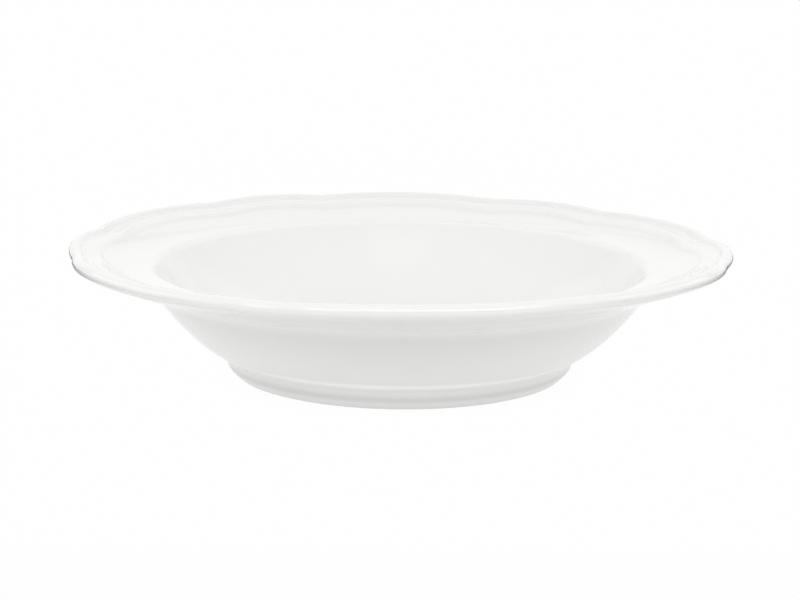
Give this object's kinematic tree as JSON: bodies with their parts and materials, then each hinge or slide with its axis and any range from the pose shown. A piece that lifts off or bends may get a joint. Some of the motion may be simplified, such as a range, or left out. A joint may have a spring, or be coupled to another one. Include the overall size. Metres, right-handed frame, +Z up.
{
  "type": "rimmed bowl",
  "caption": "Deep round soup plate of white glazed ceramic, with a wide sloping rim, a moulded border with a scalloped edge, and a foot ring to stand on",
  "frame": {"origin": "middle of the foot's standing ring, on the plane that the plate stands on", "axes": "+Z up out of the well; +X to the right and +Y away, as seen from the picture's side"},
  "size_m": [0.2416, 0.2418, 0.0493],
  "materials": {
    "fired_clay": "matte",
    "white_glaze": "gloss",
    "underside_glaze": "gloss"
  },
  "bodies": {
    "root": {"clay_body": "fired_clay", "face_glaze": "white_glaze", "base_glaze": "underside_glaze"}
  },
  "joints": []
}
